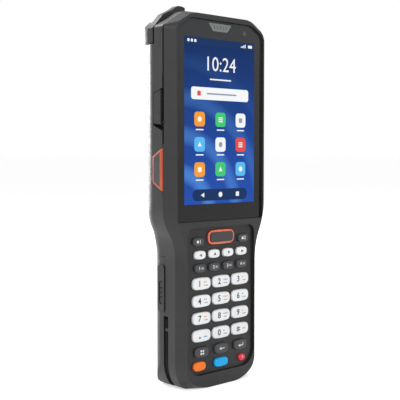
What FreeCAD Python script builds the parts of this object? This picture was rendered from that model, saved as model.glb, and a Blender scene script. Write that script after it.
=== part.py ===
# Portable barcode data terminal, standing upright on the foot of its grip.
# Lengths are millimetres. +Z runs up along the terminal and the display and the keys face -Y.
# X = 0 is the middle, the display glass starts at Y = 0 and the foot rests on Z = 0.
import FreeCAD, Part
import Sketcher
import math
import os
from types import SimpleNamespace

# Driving dimensions: alias, value, meaning. A depth is a distance behind the front of the glass.
SIZES = [
    ("head_width", 80.0, "head across its sides"),
    ("grip_width", 62.0, "grip across its sides"),
    ("front_top", 213.4, "top of the front housing"),
    ("shoulder_width", 49.0, "flat top between the cut corners of the housing"),
    ("shoulder_low", 204.0, "height where a cut corner meets the side"),
    ("shoulder_round", 1.2, "rounding of the cut corners"),
    ("taper_high", 104.0, "height where the head starts to narrow"),
    ("taper_low", 75.0, "height where the grip has its full width"),
    ("foot_width", 42.0, "flat foot"),
    ("foot_trim", 0.1, "how much of the foot's curve is cut flat"),
    ("heel_out", 27.5, "side of the heel corner from the middle"),
    ("heel_high", 3.5, "height of the heel corner"),
    ("heel_top", 15.2, "height where the heel meets the side"),
    ("heel_round", 21.2, "upper heel radius"),
    ("sole_round", 7.8, "lower heel radius"),
    ("lip_height", 1.5, "how far the front lip stands ahead of the glass"),
    ("lip_head_inset", 4.6, "lip to side in the head"),
    ("lip_grip_inset", 3.3, "lip to side in the grip"),
    ("lip_top", 212.3, "top of the lip"),
    ("lip_shoulder_width", 46.2, "flat top of the lip"),
    ("lip_shoulder_low", 204.8, "height where the lip's cut corner meets its side"),
    ("lip_shoulder_round", 4.2, "rounding of the lip's cut corners"),
    ("lip_taper_high", 106.0, "height where the lip starts to narrow"),
    ("lip_taper_low", 72.0, "height where the lip has the grip's width"),
    ("lip_foot_width", 20.0, "flat foot of the lip"),
    ("lip_heel_out", 23.8, "side of the lip's heel corner"),
    ("lip_heel_high", 4.6, "height of the lip's heel corner"),
    ("lip_heel_top", 13.5, "height where the lip's heel meets its side"),
    ("lip_heel_round", 10.5, "upper heel radius of the lip"),
    ("lip_sole_round", 27.2, "lower heel radius of the lip"),
    ("bevel_depth", 4.6, "depth where the bevel meets the side"),
    ("split_depth", 13.0, "depth where the front housing ends"),
    ("wall", 2.0, "side wall of the front housing"),
    ("fit_gap", 0.15, "clearance round a fitted piece"),
    ("glass_width", 68.4, "display glass"),
    ("glass_low", 95.8, "lower edge of the glass"),
    ("glass_top", 209.3, "upper edge of the glass"),
    ("glass_shoulder_width", 49.6, "flat top of the glass"),
    ("glass_shoulder_low", 203.5, "height where the glass's cut corner meets its side"),
    ("glass_corner", 1.2, "lower corner radius of the glass"),
    ("glass_round", 3.0, "rounding of the cut corners of the glass"),
    ("glass_thick", 1.2, "glass"),
    ("gasket_thick", 0.4, "adhesive gasket under the glass"),
    ("lcd_width", 58.4, "display module"),
    ("lcd_low", 103.4, "lower edge of the display module"),
    ("lcd_high", 201.2, "upper edge of the display module"),
    ("lcd_gap", 0.5, "clearance round the display module"),
    ("chassis_depth", 4.9, "front of the metal chassis"),
    ("chassis_thick", 1.0, "chassis plate"),
    ("slit_low", 194.6, "height where the slit under the scan hood starts"),
    ("slit_wide", 1.3, "slit under the scan hood"),
    ("seam_high", 41.8, "height where the slot round the battery ends"),
    ("seam_wide", 2.4, "slot round the battery"),
    ("seam_rear", 1.2, "slot in the front edge of the battery"),
    ("seam_deep", 1.6, "slot in the front edge of the battery, inwards"),
    ("bridge_low", 33.4, "lower edge of the bridge across the slot"),
    ("bridge_high", 34.9, "upper edge of the bridge across the slot"),
    ("pad_width", 53.8, "keypad bezel"),
    ("pad_low", 8.0, "lower edge of the keypad bezel"),
    ("pad_high", 92.0, "upper edge of the keypad bezel"),
    ("pad_corner_low", 10.0, "lower corner radius of the bezel"),
    ("pad_corner_high", 4.5, "upper corner radius of the bezel"),
    ("pad_thick", 1.4, "keypad bezel"),
    ("pad_ledge", 1.0, "ledge that carries the bezel"),
    ("mat_depth", 3.1, "front of the rubber keypad mat"),
    ("mat_thick", 0.8, "rubber keypad mat"),
    ("key_proud", 1.45, "how far a key stands ahead of the glass plane"),
    ("key_gap", 0.2, "clearance between a key and the bezel"),
    ("key_flange", 0.3, "how far a key's flange reaches past its cap"),
    ("key_flange_thick", 0.6, "flange of a key"),
    ("key_bow", 0.2, "bow of a key's upper and lower edges"),
    ("key_soft", 0.8, "rounding of a key's front edge"),
    ("digit_width", 13.7, "number key"),
    ("digit_tall", 6.5, "number key"),
    ("digit_corner", 2.6, "corner radius of a number key"),
    ("digit_column", 15.6, "columns of the number keys"),
    ("digit_row", 9.94, "rows of the number keys"),
    ("digit_low", 30.5, "height of the lowest number row"),
    ("small_width", 8.3, "function and arrow keys"),
    ("small_tall", 4.5, "function and arrow keys"),
    ("small_corner", 1.9, "corner radius of the small keys"),
    ("small_column", 11.2, "columns of the function and arrow keys"),
    ("function_high", 69.15, "height of the function keys"),
    ("arrow_high", 76.7, "height of the arrow keys"),
    ("program_column", 18.15, "side of the two upper keys"),
    ("program_high", 84.35, "height of the two upper keys"),
    ("scan_width", 21.4, "front scan key"),
    ("scan_tall", 8.3, "front scan key"),
    ("scan_corner", 3.6, "corner radius of the scan key"),
    ("scan_ring", 1.7, "ring round the scan key's cap"),
    ("scan_step", 0.35, "how far the scan key's cap stands above its ring"),
    ("scan_high", 86.2, "height of the scan key"),
    ("menu_width", 10.5, "menu keys"),
    ("menu_tall", 5.6, "menu keys"),
    ("menu_corner", 2.3, "corner radius of the menu keys"),
    ("menu_column", 15.7, "columns of the menu keys"),
    ("menu_high", 21.0, "height of the menu keys"),
    ("shift_width", 9.3, "orange key"),
    ("wide_width", 10.7, "blue key"),
    ("shift_tall", 4.9, "orange and blue keys"),
    ("shift_corner", 2.2, "corner radius of the orange and blue keys"),
    ("power_width", 5.2, "power key"),
    ("power_tall", 3.9, "power key"),
    ("power_corner", 1.8, "corner radius of the power key"),
    ("shift_column", 17.2, "side of the orange and red keys"),
    ("shift_high", 13.0, "height of the lowest keys"),
    ("trigger_front", 4.6, "front edge of a side trigger"),
    ("trigger_back", 12.0, "rear edge of a side trigger"),
    ("trigger_low", 113.5, "lower end of a side trigger"),
    ("trigger_high", 137.0, "upper end of a side trigger"),
    ("trigger_slant", 4.5, "how much shorter the rear edge is at each end"),
    ("trigger_proud", 1.15, "how far a side trigger and the volume rocker stand out of the side"),
    ("trigger_travel", 1.0, "travel of a side trigger"),
    ("trigger_soft", 0.45, "rounding of the outer edges of the triggers and the rocker"),
    ("trigger_flange", 0.8, "flange of a side trigger"),
    ("trigger_hold", 1.6, "how far a trigger's flange reaches past its cap"),
    ("groove_front", 4.0, "front edge of the groove down the side of the head"),
    ("groove_back", 4.7, "rear edge of the groove down the side of the head"),
    ("groove_deep", 1.2, "groove down the side of the head"),
    ("groove_low", 139.5, "lower end of the groove"),
    ("panel_proud", 0.35, "how far the raised side panel stands out"),
    ("panel_low", 109.5, "lower end of the side panel"),
    ("panel_high", 177.5, "upper end of the side panel"),
    ("panel_slant", 6.0, "how much shorter the panel's rear edge is at each end"),
    ("door_front", 4.5, "front edge of the port recess"),
    ("door_back", 12.2, "rear edge of the port recess"),
    ("door_low", 149.8, "lower end of the port recess"),
    ("door_high", 170.2, "upper end of the port recess"),
    ("door_slant", 3.0, "how much shorter the rear edge is at its upper end"),
    ("door_drop", 3.4, "how much lower the recess ends at its front edge"),
    ("door_slot", 1.5, "finger slot along the door"),
    ("door_thick", 1.7, "port door"),
    ("door_knuckle", 1.55, "radius of the port door's knuckle"),
    ("pin_radius", 0.6, "door pin"),
    ("pin_gap", 0.05, "running clearance of the door pin"),
    ("pin_seat", 0.8, "how far the door pin reaches into the housing at its front end"),
    ("pin_tail", 0.4, "how far the door pin reaches into the housing at its rear end"),
    ("rocker_low", 148.0, "lower end of the volume rocker"),
    ("rocker_high", 168.0, "upper end of the volume rocker"),
    ("rocker_gap", 0.3, "clearance round the volume rocker"),
    ("head_back", 22.3, "rear of the head"),
    ("grip_back", 26.0, "rear of the grip"),
    ("back_round", 9.2, "rounding of the rear edges"),
    ("slope_low", 82.0, "height where the rear starts to slope in"),
    ("slope_high", 108.0, "height where the rear slope ends"),
    ("rear_wall", 2.3, "wall of the rear housing"),
    ("well_thick", 1.6, "plate between the electronics and the battery"),
    ("battery_top", 76.0, "upper end of the battery pack"),
    ("battery_gap", 0.2, "clearance round the battery pack"),
    ("battery_wall", 2.0, "shell of the battery pack"),
    ("battery_foot_round", 4.0, "rounding of the battery's lower rear edge"),
    ("cell_side", 6.8, "hollow for the cells from the side of the battery"),
    ("cell_low", 6.0, "lower end of the hollow for the cells"),
    ("cell_high", 71.8, "upper end of the hollow for the cells"),
    ("frame_low", 44.0, "lower end of the latch frame"),
    ("frame_high", 71.0, "upper end of the latch frame"),
    ("frame_front", 13.5, "front edge of the latch frame"),
    ("frame_back", 19.0, "rear edge of the latch frame"),
    ("frame_proud", 0.6, "how far the latch frame stands out"),
    ("frame_corner", 2.0, "corner radius of the latch frame"),
    ("latch_low", 48.5, "lower end of a battery latch"),
    ("latch_high", 61.7, "upper end of a battery latch"),
    ("latch_front", 14.2, "front edge of a battery latch"),
    ("latch_back", 17.6, "rear edge of a battery latch"),
    ("latch_sunk", 0.3, "how far a latch lies below the face of its frame"),
    ("latch_long", 3.2, "battery latch from its face to its rear"),
    ("latch_soft", 0.4, "rounding of a latch's outer edge"),
    ("latch_groove", 1.0, "grip groove of a latch"),
    ("latch_groove_step", 2.6, "step of the grip grooves"),
    ("latch_groove_deep", 0.4, "grip groove of a latch"),
    ("latch_groove_edge", 0.7, "grip groove from the edges of its latch"),
    ("hood_low", 195.4, "lower edge of the scan hood"),
    ("hood_back", 24.5, "rear of the scan hood"),
    ("horn_back", 17.3, "rear of the horns, where the hood steps down"),
    ("saddle_width", 38.0, "raised middle of the hood behind the horns"),
    ("saddle_foot_width", 52.0, "foot of the raised middle"),
    ("ear_high", 208.0, "top of the hood outside its raised middle"),
    ("ear_side", 35.9, "side of the hood's cut rear corners"),
    ("ear_drop", 0.7, "fall of the hood's top towards its cut corners"),
    ("ear_slope", 5.0, "chamfer of the ears' upper rear edges, along the hood's rear"),
    ("ear_slope_low", 202.0, "height where that chamfer starts"),
    ("ear_low", 202.2, "height where a cut rear corner meets the side"),
    ("hood_round", 8.0, "rounding of the hood's rear corners"),
    ("hood_tongue", 2.8, "tongue of the hood inside the front housing"),
    ("hood_sill", 211.6, "sill of the scan window between the horns"),
    ("horn_left", 217.5, "top of the left horn"),
    ("horn_right", 215.4, "top of the right horn"),
    ("horn_inner", 15.9, "inner side of the horns"),
    ("horn_tip_run", 2.3, "bevel at the inner end of a horn, across"),
    ("horn_tip_drop", 0.6, "bevel at the inner end of a horn, down"),
    ("horn_foot_high", 203.4, "height where a horn's slope meets the side"),
    ("horn_foot_run", 3.1, "first slope of a horn, across"),
    ("horn_foot_rise", 3.3, "first slope of a horn, up"),
    ("horn_knee_run", 7.6, "knee of a horn from the side"),
    ("horn_knee_drop", 5.9, "knee of a horn below its top"),
    ("horn_brow_run", 14.3, "brow of a horn from the side"),
    ("horn_brow_drop", 2.7, "brow of a horn below its top"),
    ("horn_crest_run", 18.8, "start of a horn's flat top from the side"),
    ("window_width", 28.0, "scan window"),
    ("window_deep", 8.0, "scan window from front to rear"),
    ("window_thick", 1.6, "scan window"),
    ("window_depth", 14.6, "front edge of the scan window"),
    ("window_corner", 1.5, "corner radius of the scan window"),
    ("window_sunk", 0.2, "scan window below its sill"),
    ("engine_width", 24.0, "scan engine"),
    ("engine_tall", 12.0, "scan engine"),
    ("engine_deep", 7.6, "scan engine from front to rear"),
    ("board_width", 55.0, "main board"),
    ("board_low", 105.0, "lower edge of the main board"),
    ("board_high", 192.0, "upper edge of the main board"),
    ("board_thick", 1.2, "main and keypad boards"),
    ("standoff", 1.0, "standoffs of the main board"),
    ("standoff_radius", 2.0, "standoffs of the main board"),
    ("standoff_side", 23.1, "side of a standoff from the middle"),
    ("standoff_edge", 4.0, "standoff from the board's upper or lower edge"),
    ("chip_tall", 1.6, "height of the shielded chips on the main board"),
    ("chip_width", 22.0, "upper shield"),
    ("chip_high", 168.0, "height of the upper shield"),
    ("radio_width", 26.0, "lower shield"),
    ("radio_high", 127.0, "height of the lower shield"),
    ("shield_side", 3.0, "side of both shields from the middle"),
    ("shield_tall", 19.0, "both shields, from their lower to their upper edges"),
    ("port_high", 161.0, "height of the charging port"),
    ("port_width", 9.0, "charging port"),
    ("port_tall", 3.2, "charging port"),
    ("port_long", 7.0, "charging port"),
    ("port_shell", 0.35, "shell of the charging port"),
    ("port_tongue", 0.7, "tongue in the charging port"),
    ("port_tongue_width", 6.6, "tongue in the charging port"),
    ("port_tongue_sunk", 0.8, "tongue behind the mouth of the port"),
    ("screw_side", 32.6, "side of a housing screw from the middle"),
    ("screw_low", 110.5, "height of the lower housing screws"),
    ("screw_high", 186.0, "height of the upper housing screws"),
    ("screw_radius", 1.25, "shank of a housing screw"),
    ("screw_head", 2.3, "head radius of a housing screw"),
    ("screw_head_thick", 1.3, "head of a housing screw"),
    ("screw_sunk", 0.3, "screw head below the rear of the housing"),
    ("screw_gap", 0.1, "clearance round a screw's shank"),
    ("post_radius", 2.9, "screw post"),
    ("speaker_radius", 9.0, "loudspeaker"),
    ("speaker_high", 124.0, "height of the loudspeaker"),
    ("speaker_thick", 3.6, "loudspeaker"),
    ("speaker_slot", 1.2, "width of a loudspeaker slot"),
    ("speaker_slot_step", 2.6, "step of the loudspeaker slots"),
    ("speaker_slot_tall", 9.9, "loudspeaker slots"),
    ("camera_high", 172.0, "height of the rear camera"),
    ("camera_radius", 4.6, "rear camera"),
    ("camera_proud", 0.6, "how far the rear camera's rim stands out"),
    ("camera_long", 7.0, "rear camera from front to rear"),
    ("camera_rim", 1.3, "rim of the rear camera"),
    ("camera_sunk", 0.9, "lens below the rim"),
    ("eye_side", 19.6, "side of the front camera from the middle"),
    ("eye_high", 204.4, "height of the front camera"),
    ("eye_radius", 1.9, "front camera"),
    ("receiver_low", 203.6, "lower edge of the receiver grille"),
    ("receiver_high", 208.1, "upper edge of the receiver grille"),
    ("receiver_top_width", 19.0, "upper edge of the receiver grille"),
    ("receiver_low_width", 11.6, "lower edge of the receiver grille"),
    ("receiver_sunk", 0.25, "receiver grille below the glass"),
    ("receiver_slot", 1.4, "width of a slot of the grille"),
    ("receiver_slot_step", 2.4, "step of the grille's slots"),
    ("receiver_edge", 1.3, "slots from the grille's upper and lower edges"),
    ("dock_width", 16.0, "docking contact block"),
    ("dock_deep", 3.4, "docking contact block from front to rear"),
    ("dock_depth", 6.6, "front edge of the docking contact block"),
    ("dock_sunk", 0.3, "docking contact block above the foot"),
    ("dock_pad_width", 1.8, "docking contact"),
    ("dock_pad_step", 2.9, "step of the docking contacts"),
    ("dock_pad_edge", 0.6, "docking contact from the edges of its block"),
    ("dock_pad_proud", 0.15, "how far a docking contact stands out of its block"),
    ("contact_width", 18.0, "battery contact block"),
    ("contact_tall", 6.0, "battery contact block"),
    ("contact_drop", 10.0, "foot of the battery contact block below the battery's top"),
    ("contact_rear", 2.0, "battery contact block ahead of the well's plate"),
]

DIGIT_NAMES = [
    ["key_1", "key_2", "key_3"],
    ["key_4", "key_5", "key_6"],
    ["key_7", "key_8", "key_9"],
    ["key_point", "key_0", "key_symbol"],
]
PLANES = {"X": "YZ_Plane", "Y": "XZ_Plane", "Z": "XY_Plane"}
NEAR = 0.01


class Dim:
    """A length with the sheet expression that gives it."""

    def __init__(self, value, text):
        self.value = value
        self.text = text

    def __add__(self, other):
        other = as_dim(other)
        return Dim(self.value + other.value, "(%s + %s)" % (self.text, other.text))

    def __sub__(self, other):
        other = as_dim(other)
        return Dim(self.value - other.value, "(%s - %s)" % (self.text, other.text))

    def __mul__(self, other):
        other = as_dim(other)
        return Dim(self.value * other.value, "(%s * %s)" % (self.text, other.text))

    def __truediv__(self, other):
        other = as_dim(other)
        return Dim(self.value / other.value, "(%s / %s)" % (self.text, other.text))

    def __neg__(self):
        return Dim(-self.value, "(0 - %s)" % self.text)

    def __radd__(self, other):
        return as_dim(other) + self

    def __rsub__(self, other):
        return as_dim(other) - self

    def __rmul__(self, other):
        return as_dim(other) * self


def as_dim(item):
    if isinstance(item, Dim):
        return item
    return Dim(float(item), "(%.6f)" % item)


def root_of(dim):
    return Dim(math.sqrt(dim.value), "sqrt(%s)" % dim.text)


doc = FreeCAD.newDocument("barcode_terminal")
sheet = doc.addObject("Spreadsheet::Sheet", "Sizes")
for row, (alias, value, meaning) in enumerate(SIZES, start=1):
    sheet.set("A%d" % row, meaning)
    sheet.set("B%d" % row, "%r" % value)
    sheet.setAlias("B%d" % row, alias)
doc.recompute()
size = SimpleNamespace(**{alias: Dim(value, "Sizes." + alias) for alias, value, meaning in SIZES})
sub_parts = []


def bind(item, path, dim):
    item.setExpression(path, as_dim(dim).text)


def new_body(name):
    body = doc.addObject("PartDesign::Body", name)
    body.Label = name
    sub_parts.append(body)
    return body


def flat_point(corner):
    return FreeCAD.Vector(as_dim(corner[0]).value, as_dim(corner[1]).value, 0)


def bowed_edge(start, end, radius):
    """Arc from start to end that bows to the right of its way, or to the left with a negative radius."""
    chord = end - start
    rise = abs(radius) - math.sqrt(radius ** 2 - chord.Length ** 2 / 4)
    side = FreeCAD.Vector(chord.y, -chord.x, 0).normalize()
    middle = (start + end) * 0.5 + side * math.copysign(rise, radius)
    return Part.Arc(start, middle, end)


def draw(sketch, corners):
    """Closed outline. A third item of a corner is the radius of the arc that leads to the next corner."""
    edges = []
    radii = []
    for corner, following in zip(corners, corners[1:] + corners[:1]):
        start = flat_point(corner)
        end = flat_point(following)
        if len(corner) == 2:
            index = sketch.addGeometry(Part.LineSegment(start, end), False)
        else:
            index = sketch.addGeometry(bowed_edge(start, end, as_dim(corner[2]).value), False)
            radii.append((index, as_dim(corner[2])))
        forward = (sketch.getPoint(index, 1) - start).Length < NEAR
        edges.append((index, 1 if forward else 2, 2 if forward else 1))
    rules = []
    texts = []
    for (index, head, tail), (after, after_head, after_tail) in zip(edges, edges[1:] + edges[:1]):
        rules.append(Sketcher.Constraint("Coincident", index, tail, after, after_head))
        texts.append(None)
    for (index, head, tail), corner in zip(edges, corners):
        for kind, length in (("DistanceX", as_dim(corner[0])), ("DistanceY", as_dim(corner[1]))):
            rules.append(Sketcher.Constraint(kind, -1, 1, index, head, length.value))
            texts.append(length.text)
    for index, radius in radii:
        rules.append(Sketcher.Constraint("Radius", index, abs(radius.value)))
        texts.append(radius.text if radius.value > 0 else (-radius).text)
    apply_rules(sketch, rules, texts)


def draw_circle(sketch, centre, radius):
    spot = flat_point(centre)
    index = sketch.addGeometry(Part.Circle(spot, FreeCAD.Vector(0, 0, 1), as_dim(radius).value), False)
    rules = [
        Sketcher.Constraint("DistanceX", -1, 1, index, 3, spot.x),
        Sketcher.Constraint("DistanceY", -1, 1, index, 3, spot.y),
        Sketcher.Constraint("Radius", index, as_dim(radius).value),
    ]
    apply_rules(sketch, rules, [as_dim(centre[0]).text, as_dim(centre[1]).text, as_dim(radius).text])


def apply_rules(sketch, rules, texts):
    first = sketch.ConstraintCount
    sketch.addConstraint(rules)
    for number, text in enumerate(texts):
        if text:
            sketch.setExpression("Constraints[%d]" % (first + number), text)


def new_sketch(body, across, level):
    """Sketch square to an axis at a level on it, drawn in (X, Z), (Y, Z) or (X, Y)."""
    sketch = body.newObject("Sketcher::SketchObject", body.Label + "_sketch")
    plane = [item for item in body.Origin.OriginFeatures if item.Role == PLANES[across]][0]
    sketch.AttachmentSupport = [(plane, "")]
    sketch.MapMode = "FlatFace"
    bind(sketch, "AttachmentOffset.Base.z", -as_dim(level) if across == "Y" else as_dim(level))
    return sketch


def swept(body, kind, across, level, length, outlines):
    sketch = new_sketch(body, across, level)
    for outline in outlines:
        if isinstance(outline, SimpleNamespace):
            draw_circle(sketch, outline.centre, outline.radius)
        else:
            draw(sketch, outline)
    feature = body.newObject("PartDesign::" + kind, body.Label + "_" + kind.lower())
    feature.Profile = sketch
    feature.Reversed = (across == "Y") == (kind == "Pad")
    bind(feature, "Length", length)
    return feature


def add(body, across, level, length, *outlines):
    """Pad from a level on an axis, a length up that axis."""
    return swept(body, "Pad", across, level, length, outlines)


def cut(body, across, level, length, *outlines):
    """Pocket from a level on an axis, a length up that axis."""
    return swept(body, "Pocket", across, level, length, outlines)


def soften(body, radius, wanted):
    """Fillet on the edges of the body that are wanted."""
    doc.recompute()
    base = body.Tip
    names = ["Edge%d" % number for number, edge in enumerate(base.Shape.Edges, start=1) if wanted(edge)]
    feature = body.newObject("PartDesign::Fillet", body.Label + "_fillet")
    feature.Base = (base, names)
    bind(feature, "Radius", radius)
    return feature


def on_level(axis, level):
    """Test for an edge that lies whole at a level of an axis."""
    number = "xyz".index(axis)

    def wanted(edge):
        return all(abs(vertex.Point[number] - as_dim(level).value) < NEAR for vertex in edge.Vertexes)
    return wanted


def circle_at(across, up, radius):
    return SimpleNamespace(centre=(across, up), radius=radius)


def rectangle(left, right, low, high):
    return [(left, low), (right, low), (right, high), (left, high)]


def rounded(left, right, low, high, corner):
    """Rectangle with round corners."""
    return [
        (left + corner, low), (right - corner, low, corner),
        (right, low + corner), (right, high - corner, corner),
        (right - corner, high), (left + corner, high, corner),
        (left, high - corner), (left, low + corner, corner),
    ]


def mirrored(right_side):
    """Closed outline from its right side, listed upwards; an arc belongs to its lower corner."""
    left_side = []
    for number in range(len(right_side) - 1, -1, -1):
        corner = right_side[number]
        below = right_side[number - 1] if number else ()
        left_side.append((-as_dim(corner[0]), corner[1]) + tuple(below[2:]))
    return right_side + left_side


def shoulder(side, low, top_side, top, round_length):
    """Cut corner between a side and the top, with both of its own corners rounded."""
    run = side - top_side
    rise = top - low
    long = root_of(run * run + rise * rise)
    along = run / long
    upward = rise / long
    low_radius = round_length * (1 + upward) / along
    top_radius = round_length * (1 + along) / upward
    return [
        (side, low - round_length, low_radius),
        (side - round_length * along, low + round_length * upward),
        (top_side + round_length * along, top - round_length * upward, top_radius),
        (top_side - round_length, top),
    ]


def inset_shoulder(inset):
    """Side, lower height, top side and top height of the housing's cut corner, set in by a wall."""
    run = size.head_width / 2 - size.shoulder_width / 2
    rise = size.front_top - size.shoulder_low
    long = root_of(run * run + rise * rise)
    along = run / long
    upward = rise / long
    return (
        size.head_width / 2 - inset,
        size.shoulder_low - inset * (1 - upward) / along,
        size.shoulder_width / 2 - inset * (1 - along) / upward,
        size.front_top - inset,
    )


def curve_radius(wide, narrow, high, low):
    """Radius of both arcs of an S that joins two upright lines."""
    step = wide - narrow
    rise = high - low
    return (rise * rise + step * step) / (4 * step)


def taper(wide, narrow, high, low):
    """S-shaped side between the grip and the head, from its lower end to the foot of the head."""
    radius = curve_radius(wide, narrow, high, low)
    return [(narrow, low, -radius), ((wide + narrow) / 2, (high + low) / 2, radius), (wide, high)]


def heel(inset):
    """Rounded lower corner of the housing, set in by a wall square to the corner's own slope."""
    run = size.grip_width / 2 - size.foot_width / 2
    rise = size.heel_top
    long = root_of(run * run + rise * rise)
    return [
        (size.foot_width / 2, inset - size.foot_trim, size.sole_round - inset),
        (size.heel_out - inset * rise / long, size.heel_high + inset * run / long, size.heel_round - inset),
        (size.grip_width / 2 - inset, size.heel_top),
    ]


def housing_outline(inset):
    """Front view of the housing, set in by a wall."""
    half_head = size.head_width / 2 - inset
    half_grip = size.grip_width / 2 - inset
    return mirrored(
        heel(inset)
        + taper(half_head, half_grip, size.taper_high, size.taper_low)
        + shoulder(*inset_shoulder(inset), size.shoulder_round)
    )


def lip_outline():
    half_head = size.head_width / 2 - size.lip_head_inset
    half_grip = size.grip_width / 2 - size.lip_grip_inset
    return mirrored(
        [
            (size.lip_foot_width / 2, -size.foot_trim, size.lip_sole_round),
            (size.lip_heel_out, size.lip_heel_high, size.lip_heel_round),
            (half_grip, size.lip_heel_top),
        ]
        + taper(half_head, half_grip, size.lip_taper_high, size.lip_taper_low)
        + shoulder(half_head, size.lip_shoulder_low, size.lip_shoulder_width / 2, size.lip_top,
                   size.lip_shoulder_round)
    )


def glass_outline(grow):
    side = size.glass_width / 2 + grow
    low = size.glass_low - grow
    corner = size.glass_corner + grow
    return mirrored(
        [(side - corner, low, corner), (side, low + corner)]
        + shoulder(side, size.glass_shoulder_low, size.glass_shoulder_width / 2, size.glass_top + grow,
                   size.glass_round)
    )


def pad_outline(grow):
    """Front view of the keypad bezel."""
    side = size.pad_width / 2 + grow
    low = size.pad_low - grow
    high = size.pad_high + grow
    lower = size.pad_corner_low + grow
    upper = size.pad_corner_high + grow
    return mirrored([
        (side - lower, low, lower), (side, low + lower),
        (side, high - upper, upper), (side - upper, high),
    ])


def key_outline(key, grow):
    """Front view of a key: upright sides, round corners, bowed upper and lower edges."""
    half = key.width / 2 + grow
    tall = key.tall / 2 + grow
    corner = key.corner + grow
    flat = (half - corner) * 2
    bow = size.key_bow
    sweep = (flat * flat / 4 + bow * bow) / (bow * 2)
    left = key.x - half
    right = key.x + half
    low = key.z - tall
    high = key.z + tall
    return [
        (left + corner, low, sweep), (right - corner, low, corner),
        (right, low + corner), (right, high - corner, corner),
        (right - corner, high, sweep), (left + corner, high, corner),
        (left, high - corner), (left, low + corner, corner),
    ]


def key_at(name, across, up, width, tall, corner):
    return SimpleNamespace(name=name, x=as_dim(across), z=as_dim(up), width=width, tall=tall, corner=corner)


def keypad_keys():
    """Every key of the keypad with its place and size."""
    keys = []
    for row, names in enumerate(DIGIT_NAMES):
        for column, name in enumerate(names):
            across = size.digit_column * (column - 1)
            up = size.digit_low + size.digit_row * (len(DIGIT_NAMES) - 1 - row)
            keys.append(key_at(name, across, up, size.digit_width, size.digit_tall, size.digit_corner))
    for column in range(4):
        across = size.small_column * (column - 1.5)
        for name, up in (("key_function_%d", size.function_high), ("key_arrow_%d", size.arrow_high)):
            keys.append(key_at(name % (column + 1), across, up, size.small_width, size.small_tall,
                               size.small_corner))
    for name, across in (("key_program_1", -size.program_column), ("key_program_2", size.program_column)):
        keys.append(key_at(name, across, size.program_high, size.small_width, size.small_tall,
                           size.small_corner))
    for column, name in enumerate(("key_menu", "key_back", "key_enter")):
        keys.append(key_at(name, size.menu_column * (column - 1), size.menu_high, size.menu_width,
                           size.menu_tall, size.menu_corner))
    keys.append(key_at("key_orange", -size.shift_column, size.shift_high, size.shift_width,
                       size.shift_tall, size.shift_corner))
    keys.append(key_at("key_blue", 0, size.shift_high, size.wide_width, size.shift_tall,
                       size.shift_corner))
    keys.append(key_at("key_power", size.shift_column, size.shift_high, size.power_width,
                       size.power_tall, size.power_corner))
    keys.append(key_at("key_scan", 0, size.scan_high, size.scan_width, size.scan_tall, size.scan_corner))
    return keys


def side_slab(front, back, low, high, slant, grow):
    """Side view of a trigger: upright front edge and a shorter rear edge."""
    return [
        (front - grow, low - grow), (back + grow, low + slant - grow),
        (back + grow, high - slant + grow), (front - grow, high + grow),
    ]


def trigger_outline(grow):
    return side_slab(size.trigger_front, size.trigger_back, size.trigger_low, size.trigger_high,
                     size.trigger_slant, grow)


def rocker_outline(grow):
    return side_slab(size.trigger_front, size.trigger_back, size.rocker_low, size.rocker_high,
                     size.trigger_slant, grow)


def recess_outline():
    """Side view of the port recess, with slanted ends."""
    return [
        (size.door_front, size.door_low - size.door_drop), (size.door_back, size.door_low),
        (size.door_back, size.door_high - size.door_slant), (size.door_front, size.door_high),
    ]


def panel_outline():
    """Side view of the raised panel that carries the trigger and the port door."""
    return side_slab(size.groove_back, size.split_depth, size.panel_low, size.panel_high,
                     size.panel_slant, as_dim(0))


def screw_places():
    return [(size.screw_side * side, high) for side in (-1, 1) for high in (size.screw_low, size.screw_high)]


def hinge_line():
    """X and Z of the port door's pin."""
    return (
        -(size.head_width / 2 + size.panel_proud - size.door_knuckle),
        size.door_low + size.door_knuckle + size.fit_gap,
    )


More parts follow.
